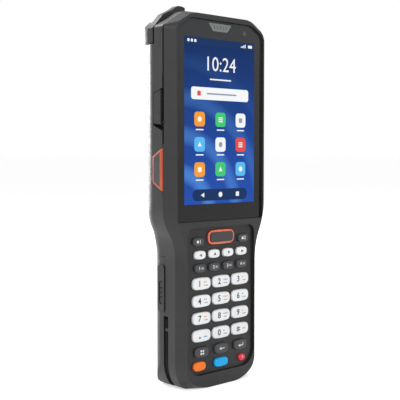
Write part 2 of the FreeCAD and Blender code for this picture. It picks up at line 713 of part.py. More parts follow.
def front_housing():
    body = new_body("front_housing")
    half = size.head_width / 2
    lip = new_sketch(body, "Y", -size.lip_height)
    draw(lip, lip_outline())
    side = new_sketch(body, "Y", size.bevel_depth)
    draw(side, housing_outline(as_dim(0)))
    bevel = body.newObject("PartDesign::AdditiveLoft", "front_housing_bevel")
    bevel.Profile = lip
    bevel.Sections = [side]
    bevel.Ruled = True
    add(body, "Y", size.bevel_depth, size.split_depth - size.bevel_depth, housing_outline(as_dim(0)))
    cut(body, "Z", -size.foot_trim * 2, size.foot_trim * 2, rectangle(
        -half, half, -size.lip_height - size.wall, size.split_depth + size.wall))
    for start in (-half - size.panel_proud, half - size.wall):
        add(body, "X", start, size.panel_proud + size.wall, panel_outline())
    for start in (-half - size.wall, half - size.groove_deep):
        cut(body, "X", start, size.wall + size.groove_deep, rectangle(
            size.groove_front, size.groove_back, size.groove_low, size.shoulder_low))
    inside = size.chassis_depth
    cut(body, "Y", inside, size.split_depth - inside, housing_outline(size.wall))
    seat = size.glass_thick + size.gasket_thick
    cut(body, "Y", -size.lip_height, size.lip_height + seat, glass_outline(size.fit_gap))
    cut(body, "Y", seat, inside - seat, rectangle(
        -size.lcd_width / 2 - size.lcd_gap, size.lcd_width / 2 + size.lcd_gap,
        size.lcd_low - size.lcd_gap, size.lcd_high + size.lcd_gap))
    cut(body, "Y", -size.lip_height, size.lip_height + size.pad_thick, pad_outline(size.fit_gap))
    cut(body, "Y", size.pad_thick, inside - size.pad_thick, pad_outline(-size.pad_ledge))
    cut(body, "Y", seat, inside - seat, circle_at(size.eye_side, size.eye_high, size.eye_radius + size.fit_gap))
    top_cut = size.split_depth - size.fit_gap - size.slit_wide
    cut(body, "Y", top_cut, size.slit_wide + size.fit_gap, rectangle(
        -half - size.wall, half + size.wall, size.slit_low, size.front_top + size.wall))
    for low, high in ((-size.wall, size.bridge_low), (size.bridge_high, size.seam_high)):
        cut(body, "Y", size.split_depth - size.seam_wide, size.seam_wide, rectangle(-half, half, low, high))
    for across, up in screw_places():
        add(body, "Y", inside - NEAR, size.split_depth - inside + NEAR,
            circle_at(across, up, size.post_radius))
    for across, up in screw_places():
        cut(body, "Y", inside + size.wall, size.split_depth - inside, circle_at(across, up, size.screw_radius))
    reach = size.wall + size.trigger_travel + size.key_gap * 2
    for start in (-half - size.wall, half - reach):
        cut(body, "X", start, reach + size.wall, trigger_outline(size.fit_gap))
    cut(body, "X", half - reach, reach + size.wall, rocker_outline(size.rocker_gap))
    add_port_recess(body)
    cut(body, "Z", -size.wall, size.wall * 3, rectangle(
        -size.dock_width / 2 - size.fit_gap, size.dock_width / 2 + size.fit_gap,
        size.dock_depth - size.fit_gap, size.dock_depth + size.dock_deep + size.fit_gap))
    return body


def add_port_recess(body):
    """Block inside the wall, the recess of the port door, its pin holes and the hole of the port."""
    half = size.head_width / 2
    floor = size.door_knuckle * 2 + size.fit_gap
    block = floor + size.wall
    add(body, "X", -half + size.wall / 2, block - size.wall / 2, rectangle(
        size.chassis_depth - NEAR, size.split_depth - size.fit_gap,
        size.door_low - size.door_drop - size.wall, size.door_high + size.wall))
    cut(body, "X", -half - size.wall, floor + size.wall, recess_outline())
    across, up = hinge_line()
    spare = size.pin_gap * 4
    cut(body, "Y", size.door_front - size.pin_seat - spare,
        size.door_back - size.door_front + size.pin_seat + size.pin_tail + spare * 2,
        circle_at(across, up, size.pin_radius + size.pin_gap))
    middle = port_depth()
    cut(body, "X", -half + floor - size.fit_gap, size.wall * 2, rounded(
        middle - size.port_tall / 2 - size.fit_gap, middle + size.port_tall / 2 + size.fit_gap,
        size.port_high - size.port_width / 2 - size.fit_gap, size.port_high + size.port_width / 2 + size.fit_gap,
        size.port_tall / 2))


def port_depth():
    """Depth of the middle of the charging port, which lies on the main board."""
    return board_depth() + size.board_thick + size.port_tall / 2


def board_depth():
    return size.chassis_depth + size.chassis_thick + size.standoff


def display_glass():
    body = new_body("display_glass")
    add(body, "Y", as_dim(0), size.glass_thick, glass_outline(as_dim(0)))
    cut(body, "Y", -size.glass_thick, size.glass_thick * 3, receiver_outline(size.fit_gap))
    return body


def receiver_outline(grow):
    return mirrored([
        (size.receiver_low_width / 2 + grow, size.receiver_low - grow),
        (size.receiver_top_width / 2 + grow, size.receiver_high + grow),
    ])


def receiver_grille():
    body = new_body("receiver_grille")
    add(body, "Y", size.receiver_sunk, size.glass_thick - size.receiver_sunk, receiver_outline(as_dim(0)))
    for number in range(-2, 3):
        across = size.receiver_slot_step * number
        half = size.receiver_slot / 2
        cut(body, "Y", as_dim(0), size.glass_thick / 2, rounded(
            across - half, across + half, size.receiver_low + size.receiver_edge,
            size.receiver_high - size.receiver_edge, half - size.fit_gap / 2))
    return body


def display_gasket():
    body = new_body("display_gasket")
    add(body, "Y", size.glass_thick, size.gasket_thick, glass_outline(-size.fit_gap), rectangle(
        -size.lcd_width / 2 - size.lcd_gap, size.lcd_width / 2 + size.lcd_gap,
        size.lcd_low - size.lcd_gap, size.lcd_high + size.lcd_gap))
    return body


def lcd_module():
    body = new_body("lcd_module")
    add(body, "Y", size.glass_thick, size.chassis_depth - size.glass_thick, rectangle(
        -size.lcd_width / 2, size.lcd_width / 2, size.lcd_low, size.lcd_high))
    return body


def front_camera():
    body = new_body("front_camera")
    front = size.glass_thick + size.gasket_thick
    add(body, "Y", front, size.chassis_depth + size.chassis_thick - front,
        circle_at(size.eye_side, size.eye_high, size.eye_radius))
    return body


def chassis():
    body = new_body("chassis")
    side = size.screw_side - size.post_radius - size.fit_gap
    grip = size.pad_width / 2 - size.pad_ledge - size.fit_gap
    neck = size.glass_low
    add(body, "Y", size.chassis_depth, size.chassis_thick, mirrored([
        (grip, size.pad_low + size.pad_corner_low), (grip, neck), (side, neck + size.wall),
        (side, size.lcd_high),
    ]))
    for across in (-1, 1):
        for up in (size.board_low + size.standoff_edge, size.board_high - size.standoff_edge):
            add(body, "Y", size.chassis_depth + size.chassis_thick - NEAR, size.standoff + NEAR,
                circle_at(size.standoff_side * across, up, size.standoff_radius))
    return body


def main_board():
    body = new_body("main_board")
    start = board_depth()
    half = size.board_width / 2
    add(body, "Y", start, size.board_thick, rectangle(-half, half, size.board_low, size.board_high))
    back = start + size.board_thick
    for up, wide in ((size.chip_high, size.chip_width), (size.radio_high, size.radio_width)):
        add(body, "Y", back - NEAR, size.chip_tall + NEAR, rectangle(
            size.shield_side - wide / 2, size.shield_side + wide / 2,
            up - size.shield_tall / 2, up + size.shield_tall / 2))
    return body


def charging_port():
    body = new_body("charging_port")
    start = -size.head_width / 2 + size.door_knuckle * 2 + size.fit_gap * 2
    middle = port_depth()
    radius = size.port_tall / 2 - size.pin_gap
    shell = size.port_shell
    add(body, "X", start, size.port_long, rounded(
        middle - size.port_tall / 2, middle + size.port_tall / 2,
        size.port_high - size.port_width / 2, size.port_high + size.port_width / 2, radius))
    cut(body, "X", start - size.wall, size.port_long + size.wall - shell * 3, rounded(
        middle - size.port_tall / 2 + shell, middle + size.port_tall / 2 - shell,
        size.port_high - size.port_width / 2 + shell, size.port_high + size.port_width / 2 - shell,
        radius - shell))
    add(body, "X", start + size.port_tongue_sunk, size.port_long - size.port_tongue_sunk - shell, rectangle(
        middle - size.port_tongue / 2, middle + size.port_tongue / 2,
        size.port_high - size.port_tongue_width / 2, size.port_high + size.port_tongue_width / 2))
    return body


def keypad_bezel(keys):
    body = new_body("keypad_bezel")
    add(body, "Y", as_dim(0), size.pad_thick, pad_outline(as_dim(0)))
    for key in keys:
        cut(body, "Y", -size.pad_thick, size.pad_thick * 3, key_outline(key, size.key_gap))
    return body


def keypad_mat():
    body = new_body("keypad_mat")
    add(body, "Y", size.mat_depth, size.mat_thick, pad_outline(-size.pad_ledge - size.fit_gap))
    return body


def keypad_board():
    body = new_body("keypad_board")
    front = size.mat_depth + size.mat_thick
    add(body, "Y", front, size.chassis_depth - front, pad_outline(-size.pad_ledge - size.fit_gap))
    return body


def keypad_key(key):
    body = new_body(key.name)
    back = size.pad_thick + size.key_gap
    add(body, "Y", back, size.key_flange_thick, key_outline(key, size.key_flange))
    front = -size.key_proud
    cap = front
    if key.name == "key_scan":
        cap = front + size.scan_step
    add(body, "Y", cap, back - cap, key_outline(key, as_dim(0)))
    soften(body, size.key_soft, on_level("y", cap))
    if key.name == "key_scan":
        add(body, "Y", front, size.scan_step + NEAR, key_outline(key, -size.scan_ring))
    return body


def scan_trigger(name, side):
    """Side trigger: a proud cap with a ring round it, and a flange that holds it inside the wall."""
    body = new_body(name)
    half = size.head_width / 2
    inner = half - size.wall - size.key_gap
    start = -half - size.trigger_proud if side < 0 else inner
    add(body, "X", start, half + size.trigger_proud - inner, trigger_outline(as_dim(0)))
    start = -inner if side < 0 else inner - size.trigger_flange
    add(body, "X", start, size.trigger_flange, rectangle(
        size.chassis_depth + size.fit_gap * 2, size.split_depth - size.fit_gap * 3,
        size.trigger_low - size.trigger_hold, size.trigger_high + size.trigger_hold))
    soften(body, size.trigger_soft, on_level("x", (half + size.trigger_proud) * side))
    return body


def volume_rocker():
    body = new_body("volume_rocker")
    half = size.head_width / 2
    inner = half - size.wall
    add(body, "X", inner, size.wall + size.trigger_proud, rocker_outline(as_dim(0)))
    soften(body, size.trigger_soft, on_level("x", half + size.trigger_proud))
    return body


def port_door():
    body = new_body("port_door")
    outer = -size.head_width / 2 - size.panel_proud
    across, up = hinge_line()
    front = size.door_front + size.door_slot
    back = size.door_back - size.rocker_gap
    slope = size.door_slant / (size.door_back - size.door_front)
    high = size.door_high - size.rocker_gap - size.pin_gap
    add(body, "X", outer, size.door_thick, [
        (front, up), (back, up), (back, high - slope * (back - size.door_front)),
        (front, high - slope * size.door_slot),
    ])
    add(body, "Y", front, back - front, circle_at(across, up, size.door_knuckle))
    cut(body, "Y", front - size.wall, back - front + size.wall * 2,
        circle_at(across, up, size.pin_radius + size.pin_gap))
    return body


def door_pin():
    body = new_body("door_pin")
    across, up = hinge_line()
    add(body, "Y", size.door_front - size.pin_seat,
        size.door_back - size.door_front + size.pin_seat + size.pin_tail,
        circle_at(across, up, size.pin_radius))
    return body


def rear_outline(inset, low, high):
    """Front view of the rear housing between two heights, set in by a wall."""
    half_head = size.head_width / 2 - inset
    half_grip = size.grip_width / 2 - inset
    return mirrored(
        [(half_grip, low - NEAR)]
        + taper(half_head, half_grip, size.taper_high, as_dim(low))
        + [(half_head, high)]
    )


def is_rear_edge(edge):
    """True for the two chains of long edges at the rear."""
    middle = edge.valueAt((edge.FirstParameter + edge.LastParameter) / 2)
    is_rear = middle.y > size.head_back.value - NEAR
    is_side = abs(middle.x) > size.grip_width.value / 2 - NEAR
    upright = abs(edge.Vertexes[0].Z - edge.Vertexes[-1].Z) > 1
    return is_rear and is_side and upright


def rear_housing():
    body = new_body("rear_housing")
    low = size.battery_top
    high = size.slit_low
    start = size.split_depth
    half = size.head_width / 2
    add(body, "Y", start, size.grip_back - start, rear_outline(as_dim(0), low, high))
    radius = curve_radius(size.grip_back, size.head_back, size.slope_high, size.slope_low)
    middle = (size.slope_low + size.slope_high) / 2
    cut(body, "X", -half - size.wall, size.head_width + size.wall * 2, [
        (size.grip_back, size.slope_low, radius),
        ((size.grip_back + size.head_back) / 2, middle, -radius),
        (size.head_back, size.slope_high), (size.head_back, high + size.wall),
        (size.grip_back + size.wall, high + size.wall), (size.grip_back + size.wall, size.slope_low),
    ])
    soften(body, size.back_round, is_rear_edge)
    wall = size.rear_wall
    shallow = size.back_round * 0.4
    deep = size.head_back - wall - start
    cut(body, "Y", start, shallow, rear_outline(wall, low + wall, high - wall))
    cut(body, "Y", start, deep, rear_outline(wall * 2.6, low + wall, high - wall))
    plate = size.wall + size.fit_gap
    add(body, "Y", start - size.well_thick, size.well_thick + NEAR, mirrored(
        heel(plate) + [(size.grip_width / 2 - plate, low + wall - NEAR)]))
    for across, up in screw_places():
        add(body, "Y", start, deep + NEAR, circle_at(across, up, size.post_radius))
    for across, up in screw_places():
        cut(body, "Y", start - wall, size.head_back - start + wall * 2,
            circle_at(across, up, size.screw_radius + size.screw_gap))
        cut(body, "Y", size.head_back - size.screw_sunk - size.screw_head_thick, wall * 2,
            circle_at(across, up, size.screw_head + size.fit_gap))
    cut(body, "Y", size.head_back - wall * 2, wall * 3,
        circle_at(as_dim(0), size.camera_high, size.camera_radius + size.fit_gap))
    for number in range(-2, 3):
        across = size.speaker_slot_step * number
        reach = size.speaker_slot_tall / 2
        slot = size.speaker_slot / 2
        cut(body, "Y", size.head_back - wall * 2, wall * 3, rounded(
            across - slot, across + slot, size.speaker_high - reach, size.speaker_high + reach,
            slot - size.pin_gap))
    cut(body, "Y", start - size.well_thick * 2, size.well_thick * 3, contact_outline(size.fit_gap))
    return body


def contact_outline(grow):
    """Front view of the battery contact block."""
    half = size.contact_width / 2 + grow
    low = size.battery_top - size.contact_drop
    return rectangle(-half, half, low - grow, low + size.contact_tall + grow)


def battery_contacts():
    body = new_body("battery_contacts")
    add(body, "Y", size.split_depth - size.well_thick - size.contact_rear, size.well_thick + size.contact_rear,
        contact_outline(as_dim(0)))
    return body


def screws():
    """Four housing screws as one group of separate solids."""
    shapes = []
    start = size.chassis_depth + size.wall * 1.5
    rear = size.head_back - size.screw_sunk
    seat = rear - size.screw_head_thick
    for across, up in screw_places():
        parts = []
        for radius, begin, end in (
                (size.screw_radius - size.screw_gap, start, seat + size.screw_gap),
                (size.screw_head, seat, rear)):
            rod = doc.addObject("Part::Cylinder", "screw_rod")
            bind(rod, "Radius", radius)
            bind(rod, "Height", end - begin)
            rod.Placement = FreeCAD.Placement(
                FreeCAD.Vector(0, 0, 0), FreeCAD.Rotation(FreeCAD.Vector(1, 0, 0), -90))
            bind(rod, "Placement.Base.x", across)
            bind(rod, "Placement.Base.y", begin)
            bind(rod, "Placement.Base.z", up)
            parts.append(rod)
        screw = doc.addObject("Part::MultiFuse", "screw")
        screw.Shapes = parts
        shapes.append(screw)
    group = doc.addObject("Part::Compound", "housing_screws")
    group.Label = "housing_screws"
    group.Links = shapes
    sub_parts.append(group)
    return group


def battery_section():
    """Plan view of the battery pack, with round rear corners."""
    half = size.grip_width / 2
    front = size.split_depth + size.battery_gap
    round_start = size.grip_back - size.back_round
    return [
        (-half, front), (half, front), (half, round_start, size.back_round),
        (half - size.back_round, size.grip_back), (-half + size.back_round, size.grip_back, size.back_round),
        (-half, round_start),
    ]


def heel_waste(side):
    """Region outside the heel's curve on one side."""
    foot, corner, top = heel(as_dim(0))
    far = size.grip_width / 2 + size.wall
    right = [foot, corner, top, (far, top[1]), (far, -size.wall), (foot[0], -size.wall)]
    if side > 0:
        return right
    return [(-as_dim(point[0]), point[1]) + tuple(-item for item in point[2:]) for point in right]


def battery_pack():
    body = new_body("battery_pack")
    half = size.grip_width / 2
    front = size.split_depth + size.battery_gap
    high = size.battery_top - size.battery_gap
    add(body, "Z", as_dim(0), high, battery_section())

    def lower_rear(edge):
        return on_level("z", as_dim(0))(edge) and edge.CenterOfMass.y > front.value + NEAR
    soften(body, size.battery_foot_round, lower_rear)
    wall = size.battery_wall
    for side in (-1, 1):
        cut(body, "Y", front - wall, size.grip_back - front + wall * 2, heel_waste(side))
    cut(body, "Y", front - wall, wall + size.seam_rear, rectangle(
        -half - wall, half + wall, -wall, size.seam_high), mirrored(
        heel(size.seam_deep) + [(half - size.seam_deep, size.seam_high - wall)]))
    cut(body, "Y", front, size.grip_back - front - wall, cell_outline(as_dim(0)))
    for start in (-half - size.frame_proud, half - wall):
        add(body, "X", start, size.frame_proud + wall, rounded(
            size.frame_front, size.frame_back, size.frame_low, size.frame_high, size.frame_corner))
    depth = latch_depth()
    for start in (-half - size.frame_proud - wall, half + size.frame_proud - depth):
        cut(body, "X", start, depth + wall, latch_outline(size.fit_gap))
    return body


def cell_outline(inset):
    """Front view of the hollow for the cells, set in by a clearance."""
    half = size.grip_width / 2 - size.cell_side - inset
    return rounded(-half, half, size.cell_low + inset, size.cell_high - inset, size.battery_wall - inset)


def latch_depth():
    """Depth of the latch recess below the face of its frame."""
    return size.latch_sunk + size.latch_long + size.trigger_travel + size.fit_gap


def latch_outline(grow):
    corner = (size.latch_back - size.latch_front) / 2 - size.pin_gap * 2 + grow
    return rounded(size.latch_front - grow, size.latch_back + grow, size.latch_low - grow,
                   size.latch_high + grow, corner)


def battery_latch(name, side):
    body = new_body(name)
    face = size.grip_width / 2 + size.frame_proud - size.latch_sunk
    start = -face if side < 0 else face - size.latch_long
    add(body, "X", start, size.latch_long, latch_outline(as_dim(0)))
    soften(body, size.latch_soft, on_level("x", face * side))
    for number in (-1, 0, 1):
        up = (size.latch_low + size.latch_high) / 2 + size.latch_groove_step * number
        begin = -face - size.wall if side < 0 else face - size.latch_groove_deep
        cut(body, "X", begin, size.latch_groove_deep + size.wall, rectangle(
            size.latch_front + size.latch_groove_edge, size.latch_back - size.latch_groove_edge,
            up - size.latch_groove / 2, up + size.latch_groove / 2))
    return body


def battery_cells():
    body = new_body("battery_cells")
    front = size.split_depth + size.battery_gap * 3
    add(body, "Y", front, size.grip_back - size.battery_wall - front - size.fit_gap,
        cell_outline(size.fit_gap))
    return body


def horn(top):
    """Right side of a horn, from the side of the head to its inner side."""
    half = size.head_width / 2
    return [
        (half, size.horn_foot_high), (half - size.horn_foot_run, size.horn_foot_high + size.horn_foot_rise),
        (half - size.horn_knee_run, top - size.horn_knee_drop),
        (half - size.horn_brow_run, top - size.horn_brow_drop), (half - size.horn_crest_run, top),
        (size.horn_inner + size.horn_tip_run, top), (size.horn_inner, top - size.horn_tip_drop),
        (size.horn_inner, size.hood_sill),
    ]


def horns_outline():
    """Front view of the hood's front part: two horns with the sill of the scan window between them."""
    half = size.head_width / 2
    left = [(-point[0], point[1]) for point in reversed(horn(size.horn_left))]
    return [(-half, size.hood_low), (half, size.hood_low)] + horn(size.horn_right) + left


def saddle_outline():
    """Front view of the hood's rear part: the raised middle and the lower cut corners."""
    return mirrored([
        (size.head_width / 2, size.hood_low), (size.head_width / 2, size.ear_low),
        (size.ear_side, size.ear_high - size.ear_drop), (size.saddle_foot_width / 2, size.ear_high),
        (size.saddle_width / 2, size.hood_sill),
    ])


def scan_hood():
    body = new_body("scan_hood")
    half = size.head_width / 2
    start = size.split_depth - size.fit_gap
    back = size.hood_back
    add(body, "Y", start, size.horn_back - start, horns_outline())
    add(body, "Y", size.horn_back - NEAR, back - size.horn_back + NEAR, saddle_outline())
    radius = size.hood_round
    for side in (-1, 1):
        waste = [
            (half, back - radius, radius * side), (half - radius, back), (half - radius, back + size.wall),
            (half + size.wall, back + size.wall), (half + size.wall, back - radius),
        ]
        cut(body, "Z", size.hood_low - size.wall, size.horn_left - size.hood_low + size.wall * 2,
            [(point[0] * side, point[1]) + tuple(point[2:]) for point in waste])
    for start_side in (-half - size.wall, size.saddle_foot_width / 2):
        cut(body, "X", start_side, half + size.wall - size.saddle_foot_width / 2, [
            (back - size.ear_slope, size.ear_high), (back, size.ear_slope_low), (back + size.wall, size.ear_slope_low),
            (back + size.wall, size.ear_high + size.wall), (back - size.ear_slope, size.ear_high + size.wall),
        ])
    side, low, top_side, top = inset_shoulder(size.wall + size.fit_gap)
    tongue = size.hood_low + size.wall / 2
    add(body, "Y", start - size.hood_tongue, size.hood_tongue + NEAR, mirrored(
        [(side, tongue)] + shoulder(side, low, top_side, top, size.shoulder_round)))
    cut(body, "Z", size.hood_sill - size.window_thick, size.window_thick * 2, window_outline(size.fit_gap))
    cut(body, "Z", size.hood_low - size.wall, size.hood_sill - size.hood_low + size.wall,
        engine_outline(size.fit_gap))
    return body


def window_outline(grow):
    half = size.window_width / 2
    return rounded(-half - grow, half + grow, size.window_depth - grow,
                   size.window_depth + size.window_deep + grow, size.window_corner)


def engine_outline(grow):
    half = size.engine_width / 2
    spare = (size.window_deep - size.engine_deep) / 2
    front = size.window_depth + spare
    return rectangle(-half - grow, half + grow, front - grow, front + size.engine_deep + grow)


def scan_window():
    body = new_body("scan_window")
    add(body, "Z", size.hood_sill - size.window_thick, size.window_thick - size.window_sunk,
        window_outline(as_dim(0)))
    return body


def scan_engine():
    body = new_body("scan_engine")
    high = size.hood_sill - size.window_thick - size.fit_gap
    add(body, "Z", high - size.engine_tall, size.engine_tall, engine_outline(as_dim(0)))
    return body


def speaker():
    body = new_body("speaker")
    back = size.head_back - size.rear_wall
    add(body, "Y", back - size.speaker_thick, size.speaker_thick,
        circle_at(as_dim(0), size.speaker_high, size.speaker_radius))
    return body


def rear_camera():
    body = new_body("rear_camera")
    back = size.head_back + size.camera_proud
    add(body, "Y", back - size.camera_long, size.camera_long,
        circle_at(as_dim(0), size.camera_high, size.camera_radius))
    cut(body, "Y", back - size.camera_sunk, size.camera_sunk * 2,
        circle_at(as_dim(0), size.camera_high, size.camera_radius - size.camera_rim))
    return body


def docking_contacts():
    body = new_body("docking_contacts")
    half = size.dock_width / 2
    low = size.dock_sunk
    edge = size.dock_pad_edge
    add(body, "Z", low, size.wall, rectangle(
        -half, half, size.dock_depth, size.dock_depth + size.dock_deep))
    for number in range(-2, 3):
        across = size.dock_pad_step * number
        reach = size.dock_pad_width / 2
        add(body, "Z", low - size.dock_pad_proud, size.dock_pad_proud + NEAR, rounded(
            across - reach, across + reach, size.dock_depth + edge,
            size.dock_depth + size.dock_deep - edge, reach / 2))
    return body


def build():
    keys = keypad_keys()
    front_housing()
    rear_housing()
    display_glass()
    receiver_grille()
    display_gasket()
    lcd_module()
    front_camera()
    chassis()
    main_board()
    charging_port()
    keypad_bezel(keys)
    keypad_mat()
    keypad_board()
    for key in keys:
        keypad_key(key)
    scan_trigger("left_scan_trigger", -1)
    scan_trigger("right_scan_trigger", 1)
    volume_rocker()
    port_door()
    door_pin()
    battery_pack()
    battery_cells()
    battery_contacts()
    battery_latch("left_battery_latch", -1)
    battery_latch("right_battery_latch", 1)
    scan_hood()
    scan_window()
    scan_engine()
    speaker()
    rear_camera()
    docking_contacts()
    screws()


def check_and_write():
    """Stop on any failed object, then write each sub-part to its own file."""
    for item in doc.Objects:
        if "Invalid" in item.State or "Error" in item.State:
            raise RuntimeError("%s has failed: %s" % (item.Label, item.State))
    os.makedirs("parts", exist_ok=True)
    for part in sub_parts:
        shape = part.Shape
        if shape.isNull() or not shape.isValid() or not shape.Solids:
            raise RuntimeError("%s has no sound solid" % part.Label)
        print("%-22s solids %d volume %10.2f" % (part.Label, len(shape.Solids), shape.Volume))
    for part in sub_parts:
        part.Shape.exportStep("parts/%s.step" % part.Label)


build()
doc.recompute()
check_and_write()
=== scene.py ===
# Looks of the portable barcode data terminal: finishes, key legends, a plain screen, camera and lights.
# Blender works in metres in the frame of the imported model. MM turns millimetres into metres.
import math

import bmesh
import bpy
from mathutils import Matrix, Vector


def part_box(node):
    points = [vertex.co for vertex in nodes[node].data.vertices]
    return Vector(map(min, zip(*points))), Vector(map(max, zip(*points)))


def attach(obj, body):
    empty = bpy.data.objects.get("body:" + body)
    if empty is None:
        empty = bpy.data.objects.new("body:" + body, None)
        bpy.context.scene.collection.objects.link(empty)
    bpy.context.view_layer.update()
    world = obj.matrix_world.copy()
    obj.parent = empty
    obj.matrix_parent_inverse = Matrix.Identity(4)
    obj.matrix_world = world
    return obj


MM = 0.001
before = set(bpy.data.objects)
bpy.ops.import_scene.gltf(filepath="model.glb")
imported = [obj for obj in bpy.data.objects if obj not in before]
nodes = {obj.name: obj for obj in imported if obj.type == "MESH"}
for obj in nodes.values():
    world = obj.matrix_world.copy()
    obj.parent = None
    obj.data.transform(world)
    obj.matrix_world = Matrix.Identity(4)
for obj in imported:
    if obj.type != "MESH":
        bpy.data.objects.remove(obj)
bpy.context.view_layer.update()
BODY = "terminal"

# Display: a 4.3 inch panel of 480 by 800 dots behind the glass. Width and height are in millimetres.
SCREEN_WIDE = 56.2
SCREEN_TALL = 93.6
SCREEN_LOW = 105.5 * MM
SCREEN_HIGH = SCREEN_LOW + SCREEN_TALL * MM

# Printed shapes: their thickness, the step from one layer to the next, and the strokes of plain marks.
INK = 0.03 * MM
LAYER = 0.03 * MM
STROKE = 0.42
STROKE_CORNER = 0.12
CORNER_STEPS = 5
DISC_POINTS = 24
EYE_POINTS = 32

# Textures: depth of the moulded grain, blur of a painted edge, and where most of a noise's values lie.
GRAIN_DEPTH = 0.04 * MM
EDGE_BLUR = 0.05 * MM
NOISE_LOW = 0.3
NOISE_HIGH = 0.7
TONE_SCALE = 120.0
DISPLAY_TONE_SCALE = 30.0

# Rounding that catches the light on the edges of the moulded casings.
EDGE_ROUND = 0.3 * MM
EDGE_ANGLE = math.radians(28)

# Camera of the photograph.
CAMERA_PLACE = (-353.07 * MM, -357.55 * MM, 133.74 * MM)
CAMERA_TURN = 0.7557
CAMERA_PITCH = 0.0525
CAMERA_LENS = 78.35

# Light that the floor shows to the camera beside what it reflects, so that it reads as white.
FLOOR_LIFT = 0.5


def new_material(name):
    material = bpy.data.materials.new(name)
    material.use_nodes = True
    shader = material.node_tree.nodes["Principled BSDF"]
    return material, material.node_tree, shader


def add_node(tree, kind, **settings):
    node = tree.nodes.new(kind)
    for name, value in settings.items():
        setattr(node, name, value)
    return node


def object_place(tree):
    return add_node(tree, "ShaderNodeTexCoord").outputs["Object"]


def noise(tree, scale, detail=2.0, rough=0.5):
    texture = add_node(tree, "ShaderNodeTexNoise")
    texture.inputs["Scale"].default_value = scale
    texture.inputs["Detail"].default_value = detail
    texture.inputs["Roughness"].default_value = rough
    tree.links.new(object_place(tree), texture.inputs["Vector"])
    return texture.outputs["Fac"]


def remap(tree, value, low, high, new_low, new_high):
    node = add_node(tree, "ShaderNodeMapRange")
    node.inputs["From Min"].default_value = low
    node.inputs["From Max"].default_value = high
    node.inputs["To Min"].default_value = new_low
    node.inputs["To Max"].default_value = new_high
    tree.links.new(value, node.inputs["Value"])
    return node.outputs["Result"]


def blend_colours(tree, share, first, second):
    """Colour that goes from the first to the second with the share; each is a colour or a socket."""
    node = add_node(tree, "ShaderNodeMix", data_type="RGBA")
    tree.links.new(share, node.inputs["Factor"])
    for socket, colour in ((node.inputs[6], first), (node.inputs[7], second)):
        if isinstance(colour, tuple):
            socket.default_value = (*colour, 1.0)
        else:
            tree.links.new(colour, socket)
    return node.outputs[2]


def math_node(tree, operation, first, second=None):
    node = add_node(tree, "ShaderNodeMath", operation=operation)
    for socket, value in zip(node.inputs, (first, second)):
        if value is None:
            continue
        if isinstance(value, (int, float)):
            socket.default_value = value
        else:
            tree.links.new(value, socket)
    return node.outputs[0]


def axes_of(tree):
    node = add_node(tree, "ShaderNodeSeparateXYZ")
    tree.links.new(object_place(tree), node.inputs[0])
    return node.outputs


def bump(tree, shader, height, strength, distance):
    node = add_node(tree, "ShaderNodeBump")
    node.inputs["Strength"].default_value = strength
    node.inputs["Distance"].default_value = distance
    tree.links.new(height, node.inputs["Height"])
    tree.links.new(node.outputs["Normal"], shader.inputs["Normal"])


def darker_and_lighter(colour, mottle):
    """Two colours, a share below and above the given one."""
    dark = tuple(part * (1 - mottle) for part in colour)
    light = tuple(min(1.0, part * (1 + mottle)) for part in colour)
    return dark, light


def textured_plastic(name, colour, rough=0.5, grain=7000.0, strength=0.25, mottle=0.12, shine=0.35):
    """Moulded plastic or rubber: fine spark-eroded grain, faint mottling and uneven roughness."""
    material, tree, shader = new_material(name)
    shader.inputs["Specular IOR Level"].default_value = shine
    cloud = noise(tree, 90.0, 3.0)
    dark, light = darker_and_lighter(colour, mottle)
    tone = blend_colours(tree, remap(tree, cloud, NOISE_LOW, NOISE_HIGH, 0.0, 1.0), dark, light)
    tree.links.new(tone, shader.inputs["Base Color"])
    tree.links.new(remap(tree, cloud, NOISE_LOW, NOISE_HIGH, rough - 0.05, rough + 0.06),
                   shader.inputs["Roughness"])
    bump(tree, shader, noise(tree, grain, 2.0, 0.6), strength, GRAIN_DEPTH)
    return material


def smooth_finish(name, colour, rough, coat=0.0, metallic=0.0, mottle=0.06):
    """Smooth moulded, coated or plated surface with a faint change of tone."""
    material, tree, shader = new_material(name)
    cloud = noise(tree, 140.0, 3.0)
    dark, light = darker_and_lighter(colour, mottle)
    tree.links.new(blend_colours(tree, cloud, dark, light), shader.inputs["Base Color"])
    tree.links.new(remap(tree, cloud, NOISE_LOW, NOISE_HIGH, max(0.02, rough - 0.03), rough + 0.03),
                   shader.inputs["Roughness"])
    shader.inputs["Metallic"].default_value = metallic
    shader.inputs["Coat Weight"].default_value = coat
    shader.inputs["Coat Roughness"].default_value = 0.05
    return material


def paint(name, material):
    data = nodes[name].data
    data.materials.clear()
    data.materials.append(material)


def inside_box(tree, first, second, centre, half, corner):
    """1 inside a rounded rectangle of two coordinates and 0 outside it."""
    lengths = []
    for value, middle, reach in zip((first, second), centre, half):
        away = math_node(tree, "ABSOLUTE", math_node(tree, "SUBTRACT", value, middle))
        lengths.append(math_node(tree, "MAXIMUM", math_node(tree, "SUBTRACT", away, reach - corner), 0.0))
    squares = [math_node(tree, "POWER", length, 2.0) for length in lengths]
    far = math_node(tree, "SQRT", math_node(tree, "ADD", *squares))
    return remap(tree, far, corner - EDGE_BLUR, corner + EDGE_BLUR, 1.0, 0.0)


